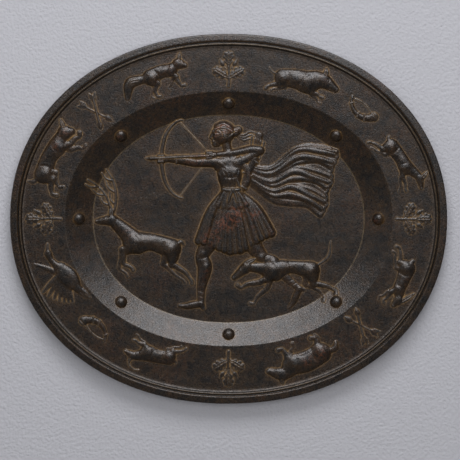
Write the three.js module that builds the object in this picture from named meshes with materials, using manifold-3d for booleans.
// A cast oval wall plaque in the form of a shallow dish: a flat well with a huntress, a stag and a hound in
// relief, a sloping ring with eight bosses, and a broad rim with running beasts between sprigs and hunting
// gear. It is one casting. Millimetres, +Z up, facing -Y, with the origin at the centre of the flat back.
import * as THREE from "three";
import { mergeVertices } from "three/addons/utils/BufferGeometryUtils.js";
import Module from "manifold-3d";

const wasm = await Module();
wasm.setup();

// ---------------------------------------------------------------- driving dimensions
const width = 500; // of the whole plaque, along X
const height = 423; // along Z
const fullness = 2.1; // exponent of the oval: 2 is an ellipse
const wellThick = 6.5; // from the flat back to the face of the well
const wellDepth = 14; // from the face of the rim down to the face of the well
const rimThick = 5;
const beadHigh = 2.4; // of the bead round the rim
const grooveHigh = 0.8; // bottom of the groove outside it
const bandHigh = 2.8; // of the outer band, where it meets the groove
const bandFall = 0.6; // that it slopes off to the edge
const edgeDrop = 6.5; // from the crest of the band to the back edge
const ovalSides = 56;

// Half width and half height of each oval line of the face, from the edge in.
const edge = [width / 2, height / 2];
const inFromEdge = (mm) => [edge[0] - mm, edge[1] - mm];
const bandInner = inFromEdge(7.6);
const grooveLine = inFromEdge(9.6);
const beadLine = inFromEdge(11.4);
const rimOuter = inFromEdge(14.2);
const slopeTop = [187.5, 145.5];
const slopeFoot = [156, 119.6];
const footEdge = [148, 112]; // of the flat back

const wellFace = wellThick;
const rimFace = wellThick + wellDepth;
const rimBack = rimFace - rimThick;

const bossCount = 8;
const bossRadius = 7.2;
const bossRise = 0.85; // of its radius, above the slope
const bossRoot = 0.35; // and below it
const bossRing = [(slopeTop[0] + slopeFoot[0]) / 2, (slopeTop[1] + slopeFoot[1]) / 2];
const beastRing = [(slopeTop[0] + rimOuter[0]) / 2, (slopeTop[1] + rimOuter[1]) / 2];

const sunk = 1.2; // that the reliefs reach into the face behind them

// How far the face stands from the wall at a point of the well, the slope or the rim.
function faceAt(x, z) {
  const reach = ([a, b]) => (Math.abs(x / a) ** fullness + Math.abs(z / b) ** fullness) ** (1 / fullness);
  const [past, short] = [reach(slopeFoot) - 1, 1 - reach(slopeTop)];
  if (past <= 0) return wellFace;
  return short <= 0 ? rimFace : wellFace + (wellDepth * past) / (past + short);
}

// ---------------------------------------------------------------- small helpers
const turn = (degrees) => (degrees * Math.PI) / 180;
const signedPower = (value, power) => Math.sign(value) * Math.abs(value) ** power;

// The point of the oval with these half sizes at an angle from +X.
function onOval([a, b], angle) {
  const power = 2 / fullness;
  return [a * signedPower(Math.cos(angle), power), b * signedPower(Math.sin(angle), power)];
}

// A geometry as a manifold solid: shared corners merged, empty triangles dropped, faces out.
function solid(geometry) {
  geometry.deleteAttribute("normal");
  geometry.deleteAttribute("uv");
  const merged = mergeVertices(geometry, 1e-4);
  const corners = merged.index.array;
  const kept = [];
  for (let i = 0; i < corners.length; i += 3) {
    const [a, b, c] = [corners[i], corners[i + 1], corners[i + 2]];
    if (a !== b && b !== c && c !== a) kept.push(a, b, c);
  }
  const build = (triVerts) =>
    new wasm.Manifold(
      new wasm.Mesh({
        numProp: 3,
        vertProperties: new Float32Array(merged.attributes.position.array),
        triVerts: new Uint32Array(triVerts),
      }),
    );
  const made = build(kept);
  if (made.volume() > 0) return made;
  for (let i = 0; i < kept.length; i += 3) [kept[i + 1], kept[i + 2]] = [kept[i + 2], kept[i + 1]];
  return build(kept);
}

// Moves every vertex of a geometry by a function from its place to a new place.
function bend(geometry, place) {
  const position = geometry.attributes.position;
  for (let i = 0; i < position.count; i++) {
    position.setXYZ(i, ...place(position.getX(i), position.getY(i), position.getZ(i)));
  }
  return geometry;
}

// ---------------------------------------------------------------- the dish
// Its section runs out over the face and home over the back; each entry is an oval line and its distance
// from the wall.
function dish() {
  const section = [
    [[0, 0], wellFace],
    [slopeFoot, wellFace],
    [slopeTop, rimFace],
    [rimOuter, rimFace],
    [beadLine, rimFace + beadHigh],
    [grooveLine, rimFace + grooveHigh],
    [bandInner, rimFace + bandHigh],
    [inFromEdge(1.2), rimFace + bandHigh - bandFall],
    [edge, rimFace + bandHigh - bandFall - 1.2],
    [inFromEdge(0.8), rimFace + bandHigh - edgeDrop],
    [inFromEdge(9), rimBack],
    [[slopeTop[0] - 4, slopeTop[1] - 4], rimBack],
    [[footEdge[0] + 3.5, footEdge[1] + 3.5], 1.6],
    [footEdge, 0],
    [[0, 0], 0],
  ];
  const profile = section.map(([[a], y]) => new THREE.Vector2(a, y));
  const lathe = new THREE.LatheGeometry(profile, ovalSides);
  const halfHeight = new Map(section.map(([[a, b], y]) => [`${a.toFixed(3)} ${y.toFixed(3)}`, b]));
  return solid(
    bend(lathe, (x, y, z) => {
      const a = Math.hypot(x, z);
      if (a < 1e-6) return [0, -y, 0];
      const b = halfHeight.get(`${a.toFixed(3)} ${y.toFixed(3)}`);
      const [ovalX, ovalZ] = onOval([a, b], Math.atan2(z, x));
      return [ovalX, -y, ovalZ];
    }),
  );
}

// A dome that stands square to the slope, with a flatter root inside the casting.
function boss(index) {
  const [x, z] = onOval(bossRing, (index / bossCount) * 2 * Math.PI);
  const slopeAngle = Math.atan2(wellDepth, slopeTop[0] - slopeFoot[0]);
  const facing = new THREE.Vector3(x / bossRing[0] ** 2, 0, z / bossRing[1] ** 2);
  facing.setLength(-Math.sin(slopeAngle));
  facing.y = -Math.cos(slopeAngle);
  const sphere = new THREE.SphereGeometry(bossRadius, 10, 6);
  const dome = bend(sphere, (u, out, v) => [u, out > 0 ? out * bossRise : out * bossRoot, v]);
  dome.applyQuaternion(new THREE.Quaternion().setFromUnitVectors(new THREE.Vector3(0, 1, 0), facing));
  dome.translate(x, -(wellFace + wellDepth / 2), z);
  return solid(dome);
}

// ---------------------------------------------------------------- relief strokes
// A relief is a list of strokes. A stroke is a run of stations [across, up, radius] whose ends run out into
// the face. Its sides rise straight to `base`, and its crest stands `round` times the radius higher.
const stroke = (stations, { round = 0.6, base = 0, bent = false } = {}) => ({ stations, round, base, bent });

// A stroke as a straight tapered piece between each two stations, or as one bent piece through all.
function pieces({ stations, round, base, bent }) {
  const runs = bent ? [stations] : stations.slice(1).map((next, i) => [stations[i], next]);
  return runs.map((run) => roundedRod(run, round, base));
}

// Broad strokes have more rings and sides than fine ones.
const broadFrom = 8.4;
const fineUpTo = 4.4;

function roundedRod(run, round, base) {
  const middle = new THREE.CatmullRomCurve3(
    run.map(([x, z]) => new THREE.Vector3(x, 0, z)),
    false,
    "catmullrom",
    0.5,
  );
  const radiusAt = new THREE.SplineCurve(run.map(([, , r], i) => new THREE.Vector2(i, r)));
  const largest = Math.max(...run.map(([, , r]) => r));
  const [heavy, fine] = [largest > broadFrom && run.length < 4, largest < fineUpTo || run.length > 3];
  const steps = (run.length - 1) * (heavy && run.length > 2 ? 2 : 1);
  const sides = fine ? 3 : 5;
  const profile = [new THREE.Vector2(0, -0.9)];
  if (heavy) profile.push(new THREE.Vector2(0.75, -0.6));
  for (let i = 0; i <= steps; i++) profile.push(new THREE.Vector2(1, i / steps));
  if (heavy) profile.push(new THREE.Vector2(0.75, 1.6));
  profile.push(new THREE.Vector2(0, 1.9));
  const rod = new THREE.LatheGeometry(profile, sides);
  return solid(
    bend(rod, (x, t, z) => {
      const along = Math.min(1, Math.max(0, t));
      const radius = radiusAt.getPoint(along).y;
      const at = middle.getPoint(along);
      const tangent = middle.getTangent(along);
      const past = (t - along) * radius;
      const raised = z > 1e-6;
      const out = raised ? base + z * round * radius : -sunk;
      const aside = (raised ? x : Math.sign(x) * Math.hypot(x, z)) * radius;
      const across = at.x + tangent.x * past - tangent.z * aside;
      const up = at.z + tangent.z * past + tangent.x * aside;
      return [across, -faceAt(across, up) - out, up];
    }),
  );
}

// Strokes moved into the plaque's own frame as solids. `low` flattens the relief.
function placed(strokes, { at = [0, 0], angle = 0, size = 1, low = 1, mirror = false } = {}) {
  const [cos, sin] = [Math.cos(angle), Math.sin(angle)];
  return strokes.flatMap(({ stations, round, base, bent }) => {
    const moved = stations.map(([u, v, r]) => {
      const across = (mirror ? -u : u) * size;
      const up = v * size;
      return [at[0] + across * cos - up * sin, at[1] + across * sin + up * cos, r * size];
    });
    return pieces({ stations: moved, round: round * low, base: base * size * low, bent });
  });
}

// A step of a given length from a point, at an angle from straight down, positive forwards.
const step = ([u, v], length, degrees) => [
  u + length * Math.sin(turn(degrees)),
  v - length * Math.cos(turn(degrees)),
];

// A jointed limb: bones of these lengths at these angles, with a radius at the root and after each bone.
function jointed(root, lengths, angles, radii, look) {
  const stations = [[...root, radii[0]]];
  let at = root;
  lengths.forEach((length, i) => {
    at = step(at, length, angles[i]);
    stations.push([...at, radii[i + 1]]);
  });
  return stroke(stations, { ...look, bent: true });
}

// ---------------------------------------------------------------- beasts
// How the legs, spine and neck stand in each gait. Angles are from straight down, positive forwards; of the
// two fore and two hind legs, the near one comes first.
const gaits = {
  stretched: {
    rise: 3, arch: 0, neck: 124, head: 80, tail: -106, tailCurl: -16,
    fore: [[66, 88, 74], [44, 70, 54]],
    hind: [[-22, -78, -62], [0, -62, -74]],
  },
  leaping: {
    rise: 7, arch: 2, neck: 136, head: 84, tail: -124, tailCurl: 34,
    fore: [[80, -6, -60], [56, 10, -50]],
    hind: [[-4, -60, -38], [16, -48, -56]],
  },
  tracking: {
    rise: 0, arch: 1, neck: 98, head: 50, tail: -128, tailCurl: -22,
    fore: [[58, 78, 66], [8, 46, 30]],
    hind: [[-14, -82, -64], [8, -66, -44]],
  },
  trotting: {
    rise: 1, arch: 2, neck: 122, head: 64, tail: -96, tailCurl: 30,
    fore: [[40, 12, 30], [-14, -38, -60]],
    hind: [[34, -40, 6], [0, -60, -28]],
  },
};

// Sizes in millimetres: length from hip to shoulder, radii of haunch, waist and chest, then legs, neck,
// head, snout, ears and tail.
const beasts = {
  hare: {
    length: 29, haunch: 11, waist: 8.6, chest: 7.8, foreLeg: 24, hindLeg: 34, shank: 2.1, neck: 7,
    nape: 6, head: 6.2, snout: 8, nose: 3.6, ears: 19, earRadius: 2.6, earTilt: 128, tail: 6, brush: 3.4,
  },
  boar: {
    length: 30, haunch: 10, waist: 11, chest: 12.6, foreLeg: 21, hindLeg: 23, shank: 2.1, neck: 8,
    nape: 11, head: 8.6, snout: 17, nose: 4, ears: 9, earRadius: 2.6, earTilt: 80, tail: 13, brush: 1.4,
    tusk: 8,
  },
  doe: {
    length: 32, haunch: 9.8, waist: 8, chest: 9, foreLeg: 28, hindLeg: 32, shank: 1.8, neck: 15,
    nape: 6, head: 5, snout: 11, nose: 2.6, ears: 9, earRadius: 2.4, earTilt: 96, tail: 7, brush: 2.4,
  },
  lynx: {
    length: 34, haunch: 10.4, waist: 8.6, chest: 9.8, foreLeg: 25, hindLeg: 28, shank: 2.5, neck: 8,
    nape: 7.8, head: 7.8, snout: 7, nose: 4, ears: 10, earRadius: 2.2, earTilt: 70, tail: 11, brush: 2.6,
  },
  badger: {
    length: 34, haunch: 11.4, waist: 11.6, chest: 10.8, foreLeg: 18, hindLeg: 20, shank: 2.4, neck: 8,
    nape: 8.4, head: 6.8, snout: 15, nose: 3, ears: 6, earRadius: 2.4, earTilt: 84, tail: 14, brush: 3.8,
  },
  ibex: {
    length: 32, haunch: 10, waist: 9.6, chest: 11, foreLeg: 25, hindLeg: 29, shank: 2.1, neck: 14,
    nape: 7.4, head: 5.4, snout: 11, nose: 2.8, ears: 7, earRadius: 1.9, earTilt: 60, tail: 6, brush: 2.2,
    horns: 26,
  },
  fox: {
    length: 25, haunch: 10, waist: 7.8, chest: 7.2, foreLeg: 21, hindLeg: 27, shank: 2, neck: 6,
    nape: 5.4, head: 6.2, snout: 8, nose: 3, ears: 9, earRadius: 1.8, earTilt: 66, tail: 34, brush: 6.6,
  },
  hound: {
    length: 48, haunch: 11.6, waist: 7.6, chest: 13, foreLeg: 44, hindLeg: 46, shank: 2.5, neck: 22,
    nape: 7, head: 6.6, snout: 20, nose: 3.2, ears: 14, earRadius: 3, earTilt: 158, tail: 38, brush: 1.9,
  },
  stag: {
    length: 44, haunch: 12.4, waist: 10, chest: 13.4, foreLeg: 44, hindLeg: 50, shank: 2.3, neck: 29,
    nape: 8.6, head: 6.4, snout: 17, nose: 3, ears: 12, earRadius: 2.6, earTilt: 60, tail: 9, brush: 3,
    antlers: 58,
  },
};

const legShares = [0.34, 0.37, 0.29]; // of a leg's length: upper bone, lower bone and foot

function leg(root, length, angles, thigh, shank, look) {
  const lengths = legShares.map((share) => share * length);
  return jointed(root, lengths, angles, [thigh, shank * 1.25, shank, shank * 1.1], look);
}

// A four-footed beast facing +across, its shoulder and hip level with the origin.
function beast(sizes, gait) {
  const hip = [-sizes.length / 2, 0];
  const shoulder = [sizes.length / 2, gait.rise];
  const strokes = [];
  for (const [side, nearness] of [[1, 0.6], [0, 1]]) {
    const look = { round: 0.55 * nearness + 0.15, base: 0.3 * nearness };
    const foreRoot = [shoulder[0] - 1, shoulder[1] - sizes.chest * 0.35];
    const hindRoot = [hip[0] + 2 * side, hip[1] - sizes.haunch * 0.2];
    strokes.push(leg(foreRoot, sizes.foreLeg, gait.fore[side], sizes.chest * 0.52, sizes.shank, look));
    strokes.push(leg(hindRoot, sizes.hindLeg, gait.hind[side], sizes.haunch * 0.8, sizes.shank, look));
  }
  const tuck = (sizes.chest - sizes.waist) * 0.55; // that the belly is drawn up
  const middle = [sizes.length * 0.02, gait.rise / 2 + gait.arch + tuck];
  const trunk = [[...hip, sizes.haunch], [...middle, sizes.waist], [...shoulder, sizes.chest]];
  strokes.push(stroke(trunk, { round: 0.5, base: 0.5, bent: true }));
  const poll = step(shoulder, sizes.neck + sizes.chest * 0.6, gait.neck);
  strokes.push(
    stroke([[...shoulder, sizes.chest * 0.75], [...poll, sizes.nape * 0.86]], { round: 0.55, base: 0.6 }),
  );
  const muzzle = step(poll, sizes.snout, gait.head);
  strokes.push(stroke([[...poll, sizes.head], [...muzzle, sizes.nose]], { round: 0.6, base: 1 }));
  strokes.push(...headgear(sizes, poll, gait));
  const tailRoot = step(hip, sizes.haunch * 0.8, gait.tail);
  const tailMiddle = step(tailRoot, sizes.tail / 2, gait.tail);
  const tailTip = step(tailMiddle, sizes.tail / 2, gait.tail + gait.tailCurl * 2);
  const { brush } = sizes;
  const tail = [[...tailRoot, brush * 0.8], [...tailMiddle, brush], [...tailTip, brush * 0.6]];
  strokes.push(stroke(tail, { round: 0.6, base: 0.2, bent: true }));
  return strokes;
}

// Ears, and horns, antlers or tusks where the beast has them.
function headgear(sizes, poll, gait) {
  const strokes = [];
  const crown = step(poll, sizes.head * 0.6, gait.head + 88);
  const earTip = step(crown, sizes.ears, gait.head + sizes.earTilt + 34);
  const ear = [[...crown, sizes.earRadius], [...earTip, sizes.earRadius * 0.5]];
  strokes.push(stroke(ear, { round: 0.5, base: 2.2 }));
  if (sizes.horns) strokes.push(curl(crown, sizes.horns, gait.head + 80, 150, 2.6, 1));
  if (sizes.antlers) {
    strokes.push(...antlers(crown, sizes.antlers, gait.head + 124));
    strokes.push(...antlers(crown, sizes.antlers * 0.9, gait.head + 96));
  }
  if (sizes.tusk) {
    const root = step(poll, sizes.snout * 0.7, gait.head - 16);
    strokes.push(curl(root, sizes.tusk, gait.head + 10, 90, 1.2, 0.6, { base: 3 }));
  }
  return strokes;
}

// A stroke that turns evenly by `sweep` degrees over its length.
function curl(root, length, angle, sweep, rootRadius, tipRadius, look = {}) {
  const count = 4;
  const stations = [[...root, rootRadius]];
  let at = root;
  for (let i = 0; i < count; i++) {
    at = step(at, length / count, angle + (sweep * (i + 0.5)) / count);
    stations.push([...at, rootRadius + ((tipRadius - rootRadius) * (i + 1)) / count]);
  }
  return stroke(stations, { round: 0.6, base: 0.8, bent: true, ...look });
}

// A beam that sweeps back and then up, with tines on its front side.
function antlers(crown, length, angle) {
  const beam = curl(crown, length, angle, -64, 2, 1.1);
  const strokes = [beam];
  for (const [place, share] of [[1, 0.3], [2, 0.32], [3, 0.28]]) {
    const [u, v] = beam.stations[place];
    const out = angle - (64 * place) / 4 - 50;
    const middle = step([u, v], length * share * 0.5, out);
    const tip = step(middle, length * share * 0.5, out + 34);
    strokes.push(stroke([[u, v, 1.5], [...middle, 1.3], [...tip, 0.8]], { base: 0.8, bent: true }));
  }
  return strokes;
}

// A duck on the wing, flying towards +across.
function duck() {
  const strokes = [
    stroke([[-15, -3, 3.4], [0, -2, 8], [12, 1, 5.6]], { round: 0.5, base: 0.5, bent: true }),
    stroke([[12, 2, 4], [22, 6, 2.6], [29, 7, 3.6]], { round: 0.6, base: 0.6, bent: true }),
    stroke([[32, 6.6, 2], [38, 5, 1.1]], { round: 0.6, base: 0.8 }),
    stroke([[-14, -3, 4], [-27, -6, 3]], { round: 0.4, base: 0.2 }),
  ];
  const feathers = 4;
  for (let i = 0; i < feathers; i++) {
    const root = [6 - 4 * i, 2.4];
    const tip = step(root, 23 - 2.4 * i, -168 + 16 * i);
    strokes.push(stroke([[...root, 3.4], [...tip, 1.8]], { round: 0.5, base: 1.2 - 0.2 * i }));
  }
  strokes.push(stroke([[8, 2, 3], [20, 18, 1.8]], { round: 0.4, base: 0 }));
  return strokes;
}

// ---------------------------------------------------------------- sprigs and hunting gear
// A twig pointing outwards, with a leaf on each side, one at its end and two acorns.
function sprig() {
  const strokes = [stroke([[0, -17, 1.1], [0, 8, 0.9]], { round: 0.8 })];
  const leaf = (root, degrees, length) => {
    const middle = step(root, length * 0.55, degrees);
    const tip = step(root, length, degrees);
    return stroke([[...root, 1.4], [...middle, 4.2], [...tip, 1.5]], { round: 0.32, bent: true });
  };
  strokes.push(leaf([0, -8], 122, 19), leaf([0, -8], -122, 19), leaf([0, 4], 180, 17));
  strokes.push(stroke([[6.5, 7, 2.6], [8.5, 11, 1.9]], { round: 0.7 }));
  strokes.push(stroke([[-6.5, 7, 2.6], [-8.5, 11, 1.9]], { round: 0.7 }));
  return strokes;
}

// A curved hunting horn with its mouthpiece and bell, hung on a cord.
function horn() {
  const tube = curl([-12, 12], 44, 14, 128, 1.8, 4.8, { round: 0.66 });
  const [bellU, bellV] = tube.stations[tube.stations.length - 1];
  return [
    tube,
    stroke([[bellU, bellV, 5], [bellU + 1.8, bellV + 3.4, 6]], { round: 0.6, base: 0.6 }),
    curl([-11, 10], 36, 112, -54, 1.1, 1.1),
  ];
}

// Two arrows crossed, heads inwards.
function arrows() {
  const strokes = [];
  for (const side of [-1, 1]) {
    const [tail, head] = [[side * 8, 18], [side * -8, -17]];
    strokes.push(stroke([[...tail, 1.4], [...head, 1.4]], { round: 0.9, base: 0.5 + 0.5 * side }));
    strokes.push(stroke([[side * -7, -14.6, 3.2], [side * -9.2, -19.6, 0.8]], { round: 0.5, base: 0.6 }));
    for (const lean of [-20, 20]) {
      const tip = step(tail, 8, 180 - side * 24.5 + lean);
      strokes.push(stroke([[side * 6.9, 15.6, 1.3], [...tip, 1.4]], { round: 0.5, base: 0.4 }));
    }
  }
  return strokes;
}

// ---------------------------------------------------------------- the huntress
// Drawn to textbook proportions from her stature, facing -X with her bow drawn.
const stature = 226;
const headLong = stature / 7.6;
const hips = [6, 8];
const waist = [3, 33];
const shoulders = [2, 63];
const bowHand = [-74, 69];
const drawHand = [-20, 73];

function huntress() {
  const bone = (share) => stature * share;
  const [thigh, shin, foot] = [bone(0.24), bone(0.25), bone(0.1)];
  const legRadii = [bone(0.062), bone(0.034), bone(0.0175), bone(0.014)];
  const nearHip = [hips[0] - 4, hips[1] - 5];
  const knee = step(nearHip, thigh, -36);
  const neck = [-2, 83];
  const skull = [-8, neck[1] + headLong * 0.5];
  return [
    jointed([hips[0] + 4, hips[1] - 5], [thigh, shin, foot], [30, 50, -22], legRadii, { round: 0.36 }),
    jointed(nearHip, [thigh, shin, foot], [-36, -2, -82], legRadii, { round: 0.46, base: 0.6 }),
    stroke([[knee[0] + 3, knee[1] - 6, 5.4], [knee[0] + 3, knee[1] - 30, 4.6]], { base: 1.6 }), // calf
    stroke(
      [[...hips, bone(0.066)], [...waist, bone(0.05)], [shoulders[0], shoulders[1] - 9, bone(0.07)]],
      { round: 0.4, base: 1.6, bent: true },
    ),
    stroke([[-9, 62, 8], [12, 62, 8]], { round: 0.5, base: 1.8 }), // shoulders
    stroke([[...shoulders, 7], [...neck, 5.2]], { base: 2 }),
    stroke([[...skull, headLong * 0.38], [skull[0] - 5, skull[1] - 9, 5]], { base: 2 }),
    stroke([[skull[0] - 9.6, skull[1] + 1, 2.2], [skull[0] - 13, skull[1] - 3.4, 1.6]], { base: 2 }), // nose
    stroke([[skull[0] - 4, skull[1] + 7, 5], [skull[0] + 9, skull[1] + 2, 6.4]], { base: 3 }), // hair
    stroke([[skull[0] + 15, skull[1] + 3, 5.6], [skull[0] + 19, skull[1] + 5, 4.4]], { base: 2 }), // knot
    stroke([[-6, 63, 7.6], [-38, 64, 5.2], [...bowHand, 3.4]], { round: 0.7, base: 1.6 }),
    stroke([[...bowHand, 3.8], [bowHand[0] - 6, bowHand[1] + 0.6, 4]], { round: 0.9, base: 1.4 }),
    stroke([[9, 63, 7.6], [35, 80, 5.4], [...drawHand, 3.4]], { round: 0.6, base: 2.2 }),
    stroke([[...drawHand, 3.6], [drawHand[0] - 5, drawHand[1] + 0.8, 3.6]], { round: 0.9, base: 2.6 }),
    ...bow(),
    ...tunic(),
    ...cloak(),
    ...quiver(),
  ];
}

function bow() {
  const reach = 44;
  const [u, v] = bowHand;
  const tips = [[u + 17, v + reach], [u + 17, v - reach]];
  const limb = [
    [...tips[0], 1.2], [u + 1, v + reach * 0.62, 1.8], [u - 4, v, 2.2], [u + 1, v - reach * 0.62, 1.8],
    [...tips[1], 1.2],
  ];
  const strokes = [stroke(limb, { round: 1, base: 0.8, bent: true })];
  for (const tip of tips) strokes.push(stroke([[...tip, 0.7], [...drawHand, 0.7]], { round: 1, base: 0.4 }));
  strokes.push(stroke([[...drawHand, 0.9], [u - 20, v + 0.8, 0.9]], { round: 1, base: 2.4 }));
  return strokes;
}

// A kilted skirt in pleats, fanned from the waist to a hem above the knees.
function tunic() {
  const pleats = 7;
  const strokes = [];
  for (let i = 0; i < pleats; i++) {
    const across = i / (pleats - 1);
    const hem = [-33 + 80 * across, -26 - 13 * Math.sin(Math.PI * across) + 8 * across];
    const root = [waist[0] - 8 + 16 * across, waist[1] - 2];
    const hip = [root[0] + (hem[0] - root[0]) * 0.52, root[1] + (hem[1] - root[1]) * 0.42];
    strokes.push(
      stroke([[...root, 3.4], [...hip, 5.6], [...hem, 6.6]], { round: 0.42, base: 4.6, bent: true }),
    );
  }
  strokes.push(stroke([[waist[0] - 10, waist[1], 2.4], [waist[0] + 11, waist[1], 2.4]], { base: 7 })); // belt
  return strokes;
}

// A short cloak blown out behind her in long folds.
function cloak() {
  const folds = 7;
  const strokes = [];
  for (let i = 0; i < folds; i++) {
    const across = i / (folds - 1);
    const ripple = 3 * Math.sin(across * 17);
    const neck = [8 + 6 * across, 66 - 13 * across, 3.6];
    const swell = [46 + 3 * across, 57 - 32 * across + ripple * 0.4, 5];
    const dip = [80 - 10 * across, 79 - 56 * across + ripple, 5.8];
    const end = [123 - 16 * across + ripple * 0.5, 77 - 72 * across, 4.4];
    strokes.push(stroke([neck, swell, dip, end], { round: 0.42, base: 0, bent: true }));
  }
  return strokes;
}

function quiver() {
  return [
    stroke([[15, 34, 5.2], [26, 62, 6]], { round: 0.5, base: 1.4 }),
    stroke([[28, 68, 4.6], [33, 92, 6]], { round: 0.4, base: 0 }),
  ];
}

// ---------------------------------------------------------------- the whole casting
const rimMotifs = [
  ["doe", "stretched"], ["boar", "stretched"], ["fox", "trotting"], ["lynx", "tracking"],
  ["duck", ""], ["ibex", "stretched"], ["badger", "trotting"], ["hare", "stretched"],
];
const beastRoom = [92, 46]; // along and across the rim
const gearRoom = [40, 43];
const rimLow = 0.72;

// The strokes moved so that the middle of their own box is at the origin, and the size of the box.
function centred(strokes) {
  const stations = strokes.flatMap((item) => item.stations);
  const [low, high] = [-1, 1].map((way) =>
    [0, 1].map((k) => way * Math.max(...stations.map((s) => way * s[k] + s[2]))),
  );
  const shift = [-(low[0] + high[0]) / 2, -(low[1] + high[1]) / 2];
  const moved = strokes.map((item) => ({
    ...item,
    stations: item.stations.map(([u, v, r]) => [u + shift[0], v + shift[1], r]),
  }));
  return [moved, [high[0] - low[0], high[1] - low[1]]];
}

// Strokes bent sideways to the curve of the rim.
function curved(strokes, radius) {
  return strokes.map((item) => ({
    ...item,
    stations: item.stations.map(([u, v, r]) => [
      (radius + v) * Math.sin(u / radius),
      (radius + v) * Math.cos(u / radius) - radius,
      r,
    ]),
  }));
}

// Motifs stand on the rim with their feet to the well: the gear outside the bosses, and the beasts between,
// running clockwise.
function rimRelief() {
  const all = [];
  const slots = rimMotifs.length;
  const gear = [sprig, horn, sprig, arrows];
  const stand = (strokes, share, room) => {
    const [a, b] = beastRing;
    const [x, z] = onOval(beastRing, share * 2 * Math.PI);
    const outward = Math.atan2(z / b ** 2, x / a ** 2);
    const radius = (a * b) ** 2 * ((x / a ** 2) ** 2 + (z / b ** 2) ** 2) ** 1.5; // of the rim there
    const [moved, [wide, tall]] = centred(strokes);
    const size = Math.min(room[0] / wide, room[1] / tall);
    const where = { at: [x, z], angle: outward - Math.PI / 2, size, low: rimLow };
    all.push(...placed(curved(moved, radius / size), where));
  };
  rimMotifs.forEach(([kind, gait], i) => {
    const strokes = kind === "duck" ? duck() : beast(beasts[kind], gaits[gait]);
    stand(strokes, (i + 0.5) / slots, beastRoom);
    stand(gear[i % gear.length](), i / slots, gearRoom);
  });
  return all;
}

function wellRelief() {
  return [
    ...placed(beast(beasts.stag, gaits.leaping), { at: [-87.5, -34], mirror: true, size: 0.98 }),
    ...placed(beast(beasts.hound, gaits.tracking), { at: [72, -59], mirror: true, size: 0.95 }),
    ...placed(huntress()),
  ];
}

function casting() {
  const bosses = Array.from({ length: bossCount }, (_, i) => boss(i));
  const whole = wasm.Manifold.union([dish(), ...bosses, ...wellRelief(), ...rimRelief()]);
  const mesh = whole.getMesh();
  const geometry = new THREE.BufferGeometry();
  geometry.setAttribute("position", new THREE.BufferAttribute(mesh.vertProperties, 3));
  geometry.setIndex(new THREE.BufferAttribute(mesh.triVerts, 1));
  geometry.computeVertexNormals();
  return geometry;
}

const bronze = new THREE.MeshStandardMaterial({ color: 0x3a302a, roughness: 0.45, metalness: 0.8 });
const plaque = new THREE.Mesh(casting(), bronze);
plaque.name = "plaque";
const part = new THREE.Group();
part.add(plaque);

export default part;
